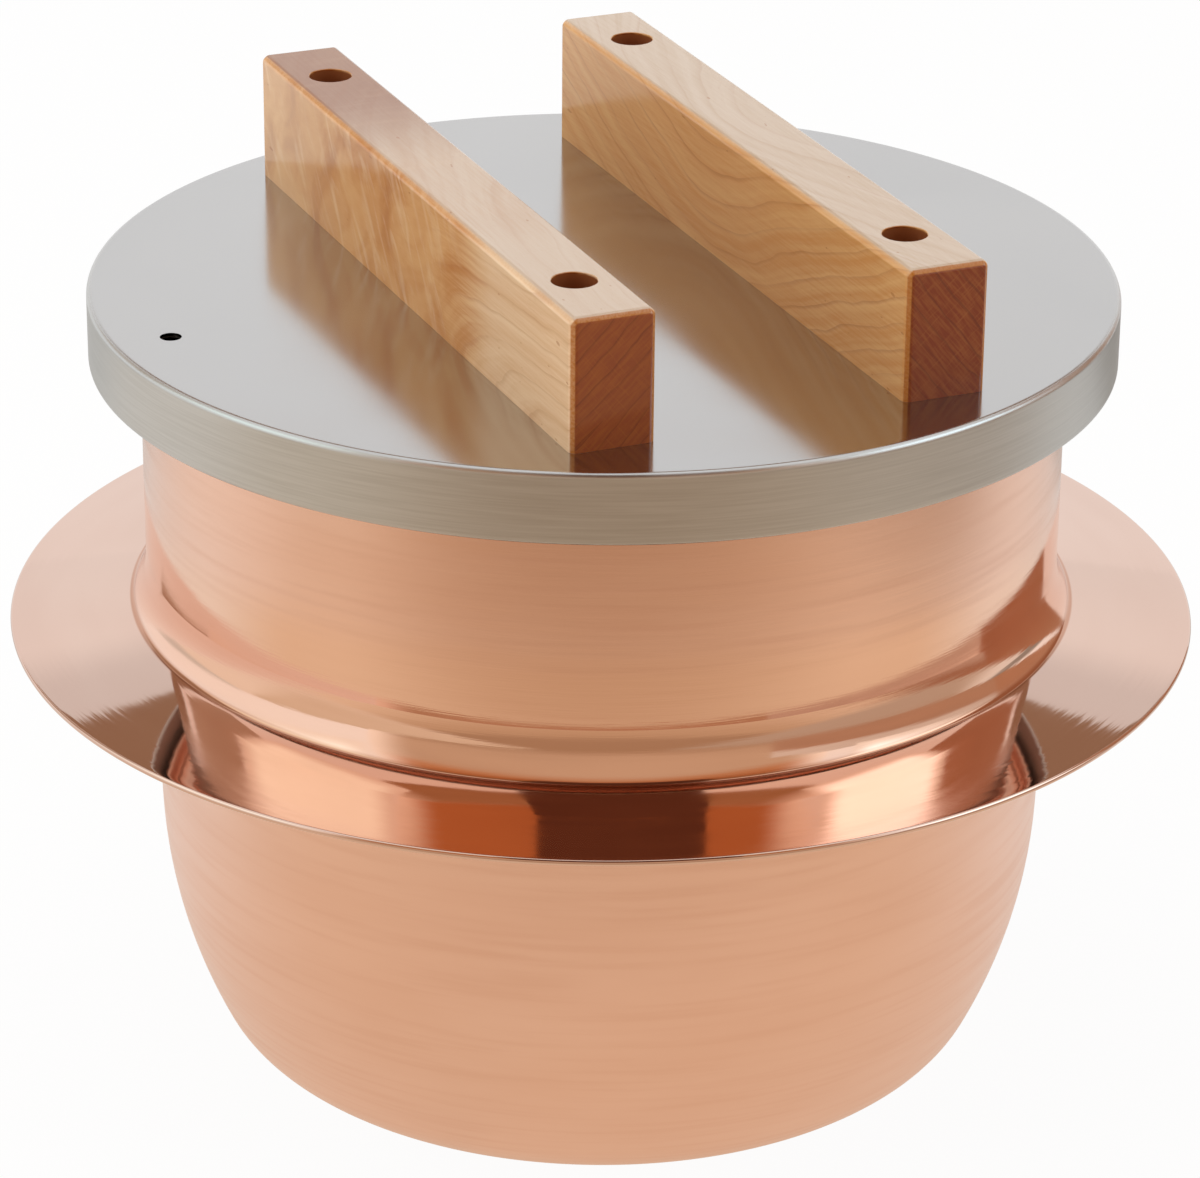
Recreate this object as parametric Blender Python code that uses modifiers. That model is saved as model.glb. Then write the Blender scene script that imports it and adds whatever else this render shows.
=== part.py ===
"""Copper rice pot with a broad brim, a steel cap lid and two wooden lifting bars.

Run it with blender --background --python part.py, or from Blender's text editor.
Lengths are in metres, +Z is up and the origin is the middle of the flat base.
"""

import math

import bmesh
import bpy
from mathutils import Vector

# Pot body, spun from one copper sheet
POT_HEIGHT = 0.175
COLLAR_RADIUS = 0.100
POT_SHEET = 0.0015
WALL_TAPER_DEG = 2.1
BELLY_HEIGHT = 0.0564
BELLY_DRAW_IN = 0.0097
BASE_CORNER_RADIUS = 0.0175
LIP_REACH = 0.0088
LIP_BEND_RADIUS = 0.003
LIP_SEAT = 0.0012
LIP_EDGE = 0.0025

# Brim ring, brazed round the foot of the collar
BRIM_REACH = 0.030
BRIM_ROOT_HEIGHT = 0.1046
BRIM_SHEET = 0.0014
BRIM_SLOPE_DEG = 7.0
CREASE_RADIUS = 0.003
NECK_EDGE = 0.0002
NECK_FLARE_RADIUS = 0.035
NECK_FLARE_DEG = 20.0

# Lid, a flat steel cap with a turned-down skirt
LID_SHEET = 0.001
LID_PLAY = 0.0012
LID_SKIRT = 0.0151
LID_CORNER_RADIUS = 0.002
VENT_RADIUS = 0.0023
VENT_INSET = 0.013

# Lifting bars
BAR_WIDTH = 0.0184
BAR_HEIGHT = 0.028
BAR_SPACING = 0.073
BAR_EDGE_MARGIN = 0.0096
BAR_ROUNDING = 0.0013
BAR_HOLE_INSET = 0.0205
CLAMPED_WOOD = 0.010

# Fasteners, one set at each bar hole
SCREW_RADIUS = 0.002
HEAD_RIM = 0.0019
HEAD_HEIGHT = 0.0026
HEAD_ROUNDING = 0.0009
RECESS_WIDTH = 0.001
RECESS_RIM = 0.0017
RECESS_FLOOR = 0.0012
POINT_CHAMFER = 0.0004
WASHER_RIM = 0.0004
WASHER_SHEET = 0.0008
NUT_WALL = 0.0012
NUT_HEX_HEIGHT = 0.0032
NUT_DOME_WALL = 0.0008
NUT_DOME_BORE = 0.0018
NUT_CAP = 0.0015

# Clearances
REST_GAP = 0.0003
SCREW_CLEARANCE = 0.0003
SCREW_END_GAP = 0.0005
COUNTERBORE_CLEARANCE = 0.0004
CUT_MARGIN = 0.005

# Fineness of the round shapes
TURN_STEPS = 64
SMALL_STEPS = 16
SHARP_EDGE_DEG = 35.0
MERGE_DISTANCE = 0.00001

# Heights of the stack, from the lip upwards and from the lid downwards
LID_UNDER = POT_HEIGHT + REST_GAP
LID_TOP = LID_UNDER + LID_SHEET
BAR_FOOT = LID_TOP + REST_GAP
BAR_TOP = BAR_FOOT + BAR_HEIGHT
SCREW_SEAT = BAR_FOOT + CLAMPED_WOOD
HEAD_WASHER_FOOT = SCREW_SEAT + REST_GAP
HEAD_FOOT = HEAD_WASHER_FOOT + WASHER_SHEET + REST_GAP
LID_WASHER_FOOT = LID_UNDER - REST_GAP - WASHER_SHEET
NUT_TOP = LID_WASHER_FOOT - REST_GAP
NUT_BORE_DEPTH = NUT_HEX_HEIGHT + NUT_DOME_BORE
SCREW_END = NUT_TOP - NUT_BORE_DEPTH + SCREW_END_GAP

# Radii and places that follow from the driving sizes
LIP_RADIUS = COLLAR_RADIUS + LIP_REACH
LID_RADIUS = LIP_RADIUS + LID_PLAY + LID_SHEET
BRIM_RADIUS = COLLAR_RADIUS + BRIM_REACH
HOLE_RADIUS = SCREW_RADIUS + SCREW_CLEARANCE
HEAD_RADIUS = SCREW_RADIUS + HEAD_RIM
WASHER_RADIUS = HEAD_RADIUS + WASHER_RIM
COUNTERBORE_RADIUS = WASHER_RADIUS + COUNTERBORE_CLEARANCE
BAR_OFFSET = BAR_SPACING / 2
BAR_CORNER_REACH = LID_RADIUS - BAR_EDGE_MARGIN
BAR_LENGTH = 2 * math.sqrt(BAR_CORNER_REACH ** 2 - (BAR_OFFSET + BAR_WIDTH / 2) ** 2)
SCREW_OFFSET = BAR_LENGTH / 2 - BAR_HOLE_INSET

SIDES = {"left": -BAR_OFFSET, "right": BAR_OFFSET}
ENDS = {"front": -SCREW_OFFSET, "rear": SCREW_OFFSET}


def arc(centre, radius, start_deg, end_deg, count):
    """Points (r, z) along an arc, both ends included."""
    points = []
    for step in range(count):
        turn = math.radians(start_deg + (end_deg - start_deg) * step / (count - 1))
        points.append((centre[0] + radius * math.cos(turn), centre[1] + radius * math.sin(turn)))
    return points


def offset_path(points, distance):
    """The path moved sideways to its left, with mitred corners."""
    normals = []
    for (r0, z0), (r1, z1) in zip(points, points[1:]):
        length = math.hypot(r1 - r0, z1 - z0)
        normals.append(((z0 - z1) / length, (r1 - r0) / length))
    moved = []
    for index, (r, z) in enumerate(points):
        before = normals[max(index - 1, 0)]
        after = normals[min(index, len(normals) - 1)]
        scale = distance / (1 + before[0] * after[0] + before[1] * after[1])
        moved.append((r + scale * (before[0] + after[0]), z + scale * (before[1] + after[1])))
    return moved


def neck_profile():
    """Outer face of the brim ring's neck, from its thin top edge down to the brim's root."""
    slope = math.radians(BRIM_SLOPE_DEG)
    flare = math.radians(NECK_FLARE_DEG)
    neck_radius = COLLAR_RADIUS + REST_GAP + NECK_EDGE
    flare_radius = neck_radius + NECK_FLARE_RADIUS * (1 - math.cos(flare))
    crease_drop = CREASE_RADIUS * (math.cos(slope) - math.sin(flare))
    flare_foot = BRIM_ROOT_HEIGHT + crease_drop
    neck_top = flare_foot + NECK_FLARE_RADIUS * math.sin(flare)
    flare_centre = (neck_radius + NECK_FLARE_RADIUS, neck_top)
    crease_centre = (
        flare_radius + CREASE_RADIUS * math.cos(flare),
        flare_foot + CREASE_RADIUS * math.sin(flare),
    )
    flare_arc = arc(flare_centre, NECK_FLARE_RADIUS, 180, 180 + NECK_FLARE_DEG, 5)
    crease_arc = arc(crease_centre, CREASE_RADIUS, 180 + NECK_FLARE_DEG, 270 - BRIM_SLOPE_DEG, 5)
    return flare_arc + crease_arc[1:]


NECK_TOP = neck_profile()[0][1]


def wall_radius(height):
    """Outside radius of the straight wall between the belly and the collar's foot."""
    return COLLAR_RADIUS - (NECK_TOP - height) * math.tan(math.radians(WALL_TAPER_DEG))


def pot_profile():
    """Closed section of the vessel: up its inside, over the lip and down its outside."""
    taper = math.radians(WALL_TAPER_DEG)
    belly_top = (wall_radius(BELLY_HEIGHT), BELLY_HEIGHT)
    corner = (belly_top[0] - BELLY_DRAW_IN - BASE_CORNER_RADIUS, BASE_CORNER_RADIUS)
    # The belly is the arc that leaves the wall smoothly and meets the corner arc smoothly
    gap_r = belly_top[0] - corner[0]
    gap_z = belly_top[1] - corner[1]
    inward = gap_z * math.sin(taper) - gap_r * math.cos(taper)
    spread = gap_r ** 2 + gap_z ** 2 - BASE_CORNER_RADIUS ** 2
    belly_radius = -spread / (2 * (inward + BASE_CORNER_RADIUS))
    belly = (
        belly_top[0] - belly_radius * math.cos(taper),
        belly_top[1] + belly_radius * math.sin(taper),
    )
    meet_deg = math.degrees(math.atan2(corner[1] - belly[1], corner[0] - belly[0]))

    lip_under = POT_HEIGHT - POT_SHEET
    # Both bends leave a flat seat for the lid between them
    bend = min(LIP_BEND_RADIUS, (LIP_REACH - POT_SHEET - LIP_SEAT) / 2)
    bend_height = lip_under - bend
    outside = [(0.0, 0.0)]
    outside += arc(corner, BASE_CORNER_RADIUS, -90, meet_deg, 6)
    outside += arc(belly, belly_radius, meet_deg, -WALL_TAPER_DEG, 7)[1:]
    outside.append((COLLAR_RADIUS, NECK_TOP))
    outside += arc((COLLAR_RADIUS + bend, bend_height), bend, 180, 90, 4)
    outside += arc((LIP_RADIUS - POT_SHEET - bend, bend_height), bend, 90, 0, 4)
    outside.append((LIP_RADIUS - POT_SHEET, bend_height - LIP_EDGE))
    inside = offset_path(outside, POT_SHEET)
    lip_end = arc((LIP_RADIUS - POT_SHEET / 2, bend_height - LIP_EDGE), POT_SHEET / 2, 0, -180, 5)
    return inside + lip_end[1:-1] + outside[::-1]


def brim_profile():
    """Closed section of the brim ring: down its neck, out over the brim and back under it."""
    slope = math.radians(BRIM_SLOPE_DEG)
    neck = neck_profile()
    root = neck[-1]
    half = BRIM_SHEET / 2
    edge_r = BRIM_RADIUS - half
    edge_z = root[1] - (edge_r - root[0]) * math.tan(slope) - half / math.cos(slope)
    edge = arc((edge_r, edge_z), half, 90 - BRIM_SLOPE_DEG, -90 - BRIM_SLOPE_DEG, 6)
    under_r, under_z = edge[-1]
    bore_foot = under_z + (under_r - COLLAR_RADIUS) * math.tan(slope)
    bore = [(wall_radius(bore_foot) + REST_GAP, bore_foot), (COLLAR_RADIUS + REST_GAP, NECK_TOP)]
    return neck + edge + bore


def lid_profile():
    """Closed section of the lid: out over the flat top, down the skirt and back inside."""
    inner_corner = max(LID_CORNER_RADIUS - LID_SHEET, LID_SHEET / 4)
    inner_radius = LID_RADIUS - LID_SHEET
    skirt_foot = LID_TOP - LID_SKIRT + LID_SHEET / 2
    outer_centre = (LID_RADIUS - LID_CORNER_RADIUS, LID_TOP - LID_CORNER_RADIUS)
    outer = arc(outer_centre, LID_CORNER_RADIUS, 90, 0, 5)
    foot = arc((LID_RADIUS - LID_SHEET / 2, skirt_foot), LID_SHEET / 2, 0, -180, 4)
    inner = arc((inner_radius - inner_corner, LID_UNDER - inner_corner), inner_corner, 0, 90, 3)
    return [(0.0, LID_TOP)] + outer + foot + inner + [(0.0, LID_UNDER)]


def screw_profile():
    """Half section of a pan-head screw, its head's seat at height zero."""
    head = arc((HEAD_RADIUS - HEAD_ROUNDING, HEAD_HEIGHT - HEAD_ROUNDING), HEAD_ROUNDING, 90, 0, 3)
    end = SCREW_END - HEAD_FOOT
    shank = [(HEAD_RADIUS, 0.0), (SCREW_RADIUS, 0.0), (SCREW_RADIUS, end + POINT_CHAMFER)]
    return [(0.0, HEAD_HEIGHT)] + head + shank + [(SCREW_RADIUS - POINT_CHAMFER, end), (0.0, end)]


def washer_profile():
    """Closed section of a flat washer, its foot at height zero."""
    top = [(HOLE_RADIUS, WASHER_SHEET), (WASHER_RADIUS, WASHER_SHEET)]
    return top + [(WASHER_RADIUS, 0.0), (HOLE_RADIUS, 0.0)]


def nut_profile(flats_radius):
    """Half section of a cap nut blank with its blind bore, its top face at height zero."""
    corner_radius = flats_radius / math.cos(math.pi / 6)
    chamfer = corner_radius - flats_radius
    dome_radius = HOLE_RADIUS + NUT_DOME_WALL
    body = [(flats_radius, 0.0), (corner_radius, -chamfer), (corner_radius, -NUT_HEX_HEIGHT + chamfer)]
    body += [(flats_radius, -NUT_HEX_HEIGHT), (dome_radius, -NUT_HEX_HEIGHT)]
    quarter = arc((0.0, 0.0), dome_radius, 0, -90, 5)
    dome = [(r, -NUT_BORE_DEPTH + z * NUT_CAP / dome_radius) for r, z in quarter]
    bore = [(0.0, -NUT_BORE_DEPTH), (HOLE_RADIUS, -NUT_BORE_DEPTH), (HOLE_RADIUS, 0.0)]
    return bore + body + dome[:-1] + [(0.0, dome[-1][1])]


def principled(name, colour, roughness, metallic):
    """A Principled material of one colour."""
    material = bpy.data.materials.new(name)
    material.use_nodes = True
    shader = material.node_tree.nodes["Principled BSDF"]
    shader.inputs["Base Color"].default_value = (*colour, 1.0)
    shader.inputs["Roughness"].default_value = roughness
    shader.inputs["Metallic"].default_value = metallic
    return material


def add_object(name, mesh, collection):
    """A new object for a mesh, linked to a collection."""
    obj = bpy.data.objects.new(name, mesh)
    collection.objects.link(obj)
    return obj


def finished_mesh(obj, name):
    """The object's mesh with modifiers applied and sharp corners marked; the object is removed."""
    depsgraph = bpy.context.evaluated_depsgraph_get()
    mesh = bpy.data.meshes.new_from_object(obj.evaluated_get(depsgraph))
    mesh.name = name
    mesh.shade_smooth()
    mesh.set_sharp_from_angle(angle=math.radians(SHARP_EDGE_DEG))
    bpy.data.objects.remove(obj)
    return mesh


def turned_object(name, profile, collection, steps, ring=False):
    """A profile of (r, z) points turned about the Z axis by a Screw modifier."""
    mesh = bpy.data.meshes.new(name)
    section = bmesh.new()
    corners = [section.verts.new((r, 0.0, z)) for r, z in profile]
    for start, end in zip(corners, corners[1:]):
        section.edges.new((start, end))
    if ring:
        section.edges.new((corners[-1], corners[0]))
    section.to_mesh(mesh)
    section.free()
    obj = add_object(name, mesh, collection)
    screw = obj.modifiers.new("Turn", "SCREW")
    screw.steps = steps
    screw.render_steps = steps
    screw.use_merge_vertices = True
    screw.merge_threshold = MERGE_DISTANCE
    return obj


def turned_mesh(name, profile, collection, steps, ring=False):
    """A turned profile as a plain mesh."""
    return finished_mesh(turned_object(name, profile, collection, steps, ring), name)


def box_mesh(name, size):
    """A box of the given size, its foot's middle at the origin."""
    mesh = bpy.data.meshes.new(name)
    box = bmesh.new()
    bmesh.ops.create_cube(box, size=1.0)
    bmesh.ops.scale(box, vec=size, verts=box.verts)
    bmesh.ops.translate(box, vec=(0.0, 0.0, size[2] / 2), verts=box.verts)
    box.to_mesh(mesh)
    box.free()
    return mesh


def add_cut(obj, cutter, operation="DIFFERENCE"):
    """A Boolean modifier that cuts an object with a cutter."""
    cut = obj.modifiers.new(cutter.name, "BOOLEAN")
    cut.operation = operation
    cut.object = cutter


def as_cutter(obj):
    """Marks an object as a cutter, shown only as wires."""
    obj.hide_render = True
    obj.display_type = "WIRE"
    return obj


def place(obj, parent, location):
    """Parents an object to an empty and puts it at a place in the world."""
    obj.parent = parent
    obj.location = Vector(location) - parent.location
    return obj


def screw_mesh(collection):
    """A pan-head screw with a cross recess."""
    blank = turned_object("screw_blank", screw_profile(), collection, SMALL_STEPS)
    recess_length = 2 * (HEAD_RADIUS - RECESS_RIM)
    recess_size = (RECESS_WIDTH, recess_length, HEAD_HEIGHT - RECESS_FLOOR + CUT_MARGIN)
    slots = []
    for quarter in range(2):
        slot = as_cutter(add_object("recess_slot", box_mesh("recess_slot", recess_size), collection))
        slot.location.z = RECESS_FLOOR
        slot.rotation_euler.z = quarter * math.pi / 2
        add_cut(blank, slot)
        slots.append(slot)
    mesh = finished_mesh(blank, "screw")
    for slot in slots:
        bpy.data.objects.remove(slot)
    return mesh


def nut_mesh(collection):
    """A cap nut: a turned blank trimmed by a hexagonal bar."""
    flats_radius = HOLE_RADIUS + NUT_WALL
    blank = turned_object("nut_blank", nut_profile(flats_radius), collection, SMALL_STEPS)
    bar_mesh = bpy.data.meshes.new("hexagon")
    bar = bmesh.new()
    bar_radius = flats_radius / math.cos(math.pi / 6)
    bar_length = 2 * (NUT_BORE_DEPTH + NUT_CAP + CUT_MARGIN)
    sides = {"segments": 6, "radius1": bar_radius, "radius2": bar_radius}
    bmesh.ops.create_cone(bar, cap_ends=True, depth=bar_length, **sides)
    bar.to_mesh(bar_mesh)
    bar.free()
    hexagon = as_cutter(add_object("hexagon", bar_mesh, collection))
    add_cut(blank, hexagon, "INTERSECT")
    mesh = finished_mesh(blank, "cap_nut")
    bpy.data.objects.remove(hexagon)
    return mesh


def add_screw_cutters(collection):
    """One stepped cutter at each screw, which bores both the bar and the lid under it."""
    cut_top = BAR_TOP + CUT_MARGIN
    cut_foot = LID_UNDER - CUT_MARGIN
    profile = [
        (0.0, cut_top),
        (COUNTERBORE_RADIUS, cut_top),
        (COUNTERBORE_RADIUS, SCREW_SEAT),
        (HOLE_RADIUS, SCREW_SEAT),
        (HOLE_RADIUS, cut_foot),
        (0.0, cut_foot),
    ]
    mesh = turned_mesh("screw_hole", profile, collection, SMALL_STEPS)
    cutters = {}
    for side, x in SIDES.items():
        for end, y in ENDS.items():
            cutter = as_cutter(add_object(f"{side}_{end}_hole", mesh, collection))
            cutter.location = (x, y, 0.0)
            cutters[side, end] = cutter
    return cutters


def add_vent_cutter(collection):
    """A round cutter for the steam vent, on the left of the lid."""
    profile = [
        (0.0, LID_TOP + CUT_MARGIN),
        (VENT_RADIUS, LID_TOP + CUT_MARGIN),
        (VENT_RADIUS, LID_UNDER - CUT_MARGIN),
        (0.0, LID_UNDER - CUT_MARGIN),
    ]
    mesh = turned_mesh("vent_hole", profile, collection, SMALL_STEPS)
    cutter = as_cutter(add_object("vent_hole", mesh, collection))
    cutter.location = (VENT_INSET - LID_RADIUS, 0.0, 0.0)
    return cutter


def add_pot(collection):
    """The vessel and its brim, which stand still."""
    stand = add_object("pot", None, collection)
    body_mesh = turned_mesh("pot_body", pot_profile(), collection, TURN_STEPS)
    body = add_object("pot_body", body_mesh, collection)
    body.data.materials.append(principled("satin_copper", (0.78, 0.42, 0.27), 0.35, 1.0))
    place(body, stand, (0.0, 0.0, 0.0))
    brim_mesh = turned_mesh("brim_ring", brim_profile(), collection, TURN_STEPS, ring=True)
    brim = add_object("brim_ring", brim_mesh, collection)
    brim.data.materials.append(principled("polished_copper", (0.83, 0.45, 0.30), 0.12, 1.0))
    place(brim, stand, (0.0, 0.0, 0.0))


def add_bar(side, colour, lift, collection, cutters):
    """One wooden bar with its two counterbored holes."""
    mesh = box_mesh(f"{side}_bar", (BAR_WIDTH, BAR_LENGTH, BAR_HEIGHT))
    bar = add_object(f"{side}_bar", mesh, collection)
    bar.data.materials.append(principled(f"{side}_wood", colour, 0.4, 0.0))
    place(bar, lift, (SIDES[side], 0.0, BAR_FOOT))
    rounding = bar.modifiers.new("Rounded edges", "BEVEL")
    rounding.width = BAR_ROUNDING
    rounding.segments = 2
    for end in ENDS:
        add_cut(bar, cutters[side, end])


def add_fasteners(lift, collection):
    """A screw, two washers and a cap nut at each bar hole."""
    washer = turned_mesh("washer", washer_profile(), collection, SMALL_STEPS, ring=True)
    screw = screw_mesh(collection)
    nut = nut_mesh(collection)
    screw.materials.append(principled("screw_steel", (0.60, 0.60, 0.60), 0.3, 1.0))
    washer.materials.append(principled("washer_steel", (0.66, 0.66, 0.65), 0.35, 1.0))
    nut.materials.append(principled("nut_steel", (0.70, 0.70, 0.69), 0.2, 1.0))
    levels = {
        "screw": (screw, HEAD_FOOT),
        "head_washer": (washer, HEAD_WASHER_FOOT),
        "lid_washer": (washer, LID_WASHER_FOOT),
        "cap_nut": (nut, NUT_TOP),
    }
    for side, x in SIDES.items():
        for end, y in ENDS.items():
            for kind, (mesh, height) in levels.items():
                piece = add_object(f"{side}_{end}_{kind}", mesh, collection)
                place(piece, lift, (x, y, height))


def add_lid(collection, cutter_collection):
    """The lid with its bars and fasteners, which lift off together."""
    lift = add_object("lid_lift", None, collection)
    lift.location = (0.0, 0.0, LID_TOP)
    cutters = add_screw_cutters(cutter_collection)
    plate_mesh = turned_mesh("lid_plate", lid_profile(), collection, TURN_STEPS)
    plate = add_object("lid_plate", plate_mesh, collection)
    plate.data.materials.append(principled("brushed_steel", (0.62, 0.61, 0.59), 0.3, 1.0))
    place(plate, lift, (0.0, 0.0, 0.0))
    for cutter in cutters.values():
        add_cut(plate, cutter)
    add_cut(plate, add_vent_cutter(cutter_collection))
    add_bar("left", (0.66, 0.36, 0.17), lift, collection, cutters)
    add_bar("right", (0.78, 0.55, 0.34), lift, collection, cutters)
    add_fasteners(lift, collection)


def main():
    """Clears the scene and builds the pot and its lid."""
    for obj in list(bpy.data.objects):
        bpy.data.objects.remove(obj)
    parts = bpy.data.collections.new("copper_rice_pot")
    cutters = bpy.data.collections.new("cutters")
    for collection in (parts, cutters):
        bpy.context.scene.collection.children.link(collection)
    add_pot(parts)
    add_lid(parts, cutters)


main()
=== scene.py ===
"""Looks of a copper rice pot: satin and mirror copper, a brushed steel lid and two lacquered maple bars.

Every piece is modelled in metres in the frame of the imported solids, with +Z up, the pot's axis on Z,
the bars along Y and the steam vent on the -X side.
"""

import logging
import math
from contextlib import contextmanager
from dataclasses import dataclass
from enum import Enum
from functools import partialmethod
from typing import Dict, Iterator, List, Mapping, Optional, Sequence, Tuple, Union

import bpy
from mathutils import Matrix, Vector


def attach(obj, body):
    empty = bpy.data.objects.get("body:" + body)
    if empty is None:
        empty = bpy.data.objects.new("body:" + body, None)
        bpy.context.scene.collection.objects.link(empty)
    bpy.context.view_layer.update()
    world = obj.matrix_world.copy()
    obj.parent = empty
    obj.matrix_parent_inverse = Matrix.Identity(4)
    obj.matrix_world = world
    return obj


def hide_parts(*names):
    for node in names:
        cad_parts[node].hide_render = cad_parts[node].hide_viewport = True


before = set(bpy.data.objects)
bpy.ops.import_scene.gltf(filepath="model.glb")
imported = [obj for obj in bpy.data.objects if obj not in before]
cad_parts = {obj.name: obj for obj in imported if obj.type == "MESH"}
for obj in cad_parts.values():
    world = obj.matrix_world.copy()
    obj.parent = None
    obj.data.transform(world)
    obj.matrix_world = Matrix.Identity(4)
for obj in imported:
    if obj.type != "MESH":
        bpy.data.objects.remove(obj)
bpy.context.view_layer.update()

LOG = logging.getLogger("rice_pot")

Point = Tuple[float, float]
Colour = Tuple[float, float, float]
Stops = Tuple[Tuple[float, Colour], ...]
Key = Union[str, int]
Feed = Union["Value", float, Sequence[float]]
Piece = bpy.types.Object
Material = bpy.types.Material

WHITE: Colour = (1.0, 1.0, 1.0)
ORIGIN = Vector((0.0, 0.0, 0.0))
UP = Vector((0.0, 0.0, 1.0))
LATHE_STEPS = 256
SMALL_LATHE_STEPS = 48
MERGE_DISTANCE = 1e-6
CUT_MARGIN = 0.004
SMOOTH_ANGLE = math.radians(35.0)
CORNER_ANGLE = math.radians(60.0)
MILLIMETRES = 1000.0


class Body(Enum):
    """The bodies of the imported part, which pieces ride on."""

    POT = "pot"
    LID = "lid"


class Side(Enum):
    """The two lifting bars, seen from the front; the value is the sign of x."""

    LEFT = -1
    RIGHT = 1


class End(Enum):
    """The two screws of a bar; the value is the sign of y."""

    FRONT = -1
    REAR = 1


class Blend(Enum):
    """How one colour goes over another."""

    MIX = "MIX"
    MULTIPLY = "MULTIPLY"


class Value:
    """What a node gives out; Python's own arithmetic on it adds Math nodes."""

    def __init__(self, graph: "Graph", socket: bpy.types.NodeSocket) -> None:
        """Takes a node's output."""
        self.graph = graph
        self.socket = socket

    def calc(self, operation: str, *others: Feed) -> "Value":
        """A Math node on this value and any others."""
        return self.graph.add("Math", 0, dict(enumerate((self, *others))), operation=operation)

    __add__ = partialmethod(calc, "ADD")
    __sub__ = partialmethod(calc, "SUBTRACT")
    __mul__ = partialmethod(calc, "MULTIPLY")
    __truediv__ = partialmethod(calc, "DIVIDE")
    __pow__ = partialmethod(calc, "POWER")
    __abs__ = partialmethod(calc, "ABSOLUTE")

    def between(self, start: Feed, end: Feed) -> "Value":
        """One number where this is zero and another where it is one."""
        return self * (end - start) + start

    def span(self, low: float, high: float, to_low: float = 0.0, to_high: float = 1.0) -> "Value":
        """A smooth step, to_low at and before low and to_high at and after high."""
        inputs = {"Value": self, "From Min": low, "From Max": high, "To Min": to_low, "To Max": to_high}
        return self.graph.add("MapRange", "Result", inputs, interpolation_type="SMOOTHSTEP")

    def fall(self, low: float, high: float) -> "Value":
        """A smooth step down, from one at the low end to zero at the high end."""
        return self.span(low, high, 1.0, 0.0)


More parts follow.
